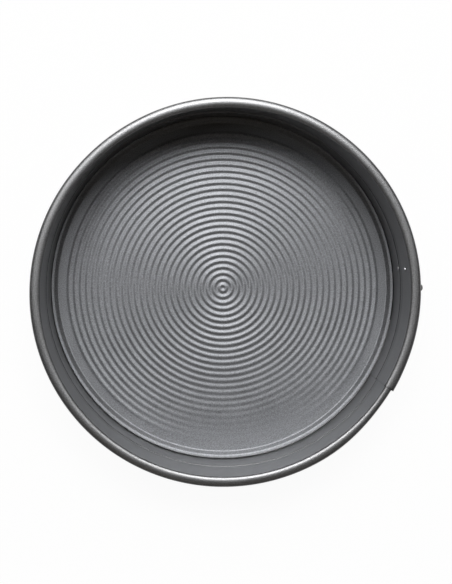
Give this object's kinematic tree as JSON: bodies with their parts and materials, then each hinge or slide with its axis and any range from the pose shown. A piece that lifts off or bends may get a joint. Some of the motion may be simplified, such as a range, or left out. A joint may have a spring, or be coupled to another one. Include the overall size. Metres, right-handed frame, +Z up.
{
  "type": "springform cake tin",
  "caption": "Round springform cake tin with a ribbed loose base, a rolled-rim band and an over-centre lever clamp.",
  "frame": {"origin": "middle of the base's underside, on the surface that the tin stands on", "axes": "+Z up through the tin's open mouth; +X from the middle to the clamp on the side wall"},
  "size_m": [0.249, 0.2428, 0.068],
  "materials": {
    "coated_sheet": "dark grey non-stick coating, satin",
    "clamp_steel": "bright plated steel",
    "rivet_metal": "bare, bright"
  },
  "bodies": {
    "band": {"band_back": "coated_sheet"},
    "lever_end": {"band_lever_end": "coated_sheet", "lever_bracket": "clamp_steel", "lever_bracket_rivets": "rivet_metal", "lever_pin": "clamp_steel"},
    "catch_end": {"band_catch_end": "coated_sheet", "catch_bracket": "clamp_steel", "catch_bracket_rivets": "rivet_metal"},
    "lever": {"clamp_lever": "clamp_steel"},
    "bail": {"clamp_bail": "clamp_steel"},
    "base": {"base_plate": "coated_sheet"}
  },
  "joints": [
    {"name": "lever_hinge", "type": "hinge", "parent": "lever_end", "child": "lever", "pos_m": [0.1239, 0.0024, 0.0355], "axis": [0, 0, -1], "range_deg": [0, 165]},
    {"name": "bail_hinge", "type": "hinge", "parent": "lever", "child": "bail", "pos_m": [0.1215, 0.0111, 0.0355], "axis": [0, 0, 1], "range_deg": [0, 165]},
    {"name": "lever_end_spread", "type": "hinge", "parent": "band", "child": "lever_end", "pos_m": [0, 0.1214, 0], "axis": [0, 0, 1], "range_deg": [0, 2.5]},
    {"name": "catch_end_spread", "type": "hinge", "parent": "band", "child": "catch_end", "pos_m": [0, -0.1214, 0], "axis": [0, 0, -1], "range_deg": [0, 2.5]},
    {"name": "base_lift", "type": "slide", "parent": "band", "child": "base", "axis": [0, 0, 1], "range_m": [0, 0.08]}
  ],
  "couplings": [
    {"joint": "bail_hinge", "follows": "lever_hinge", "ratio": 1},
    {"joint": "lever_end_spread", "follows": "lever_hinge", "ratio": 0.01515},
    {"joint": "catch_end_spread", "follows": "lever_hinge", "ratio": 0.01515}
  ]
}
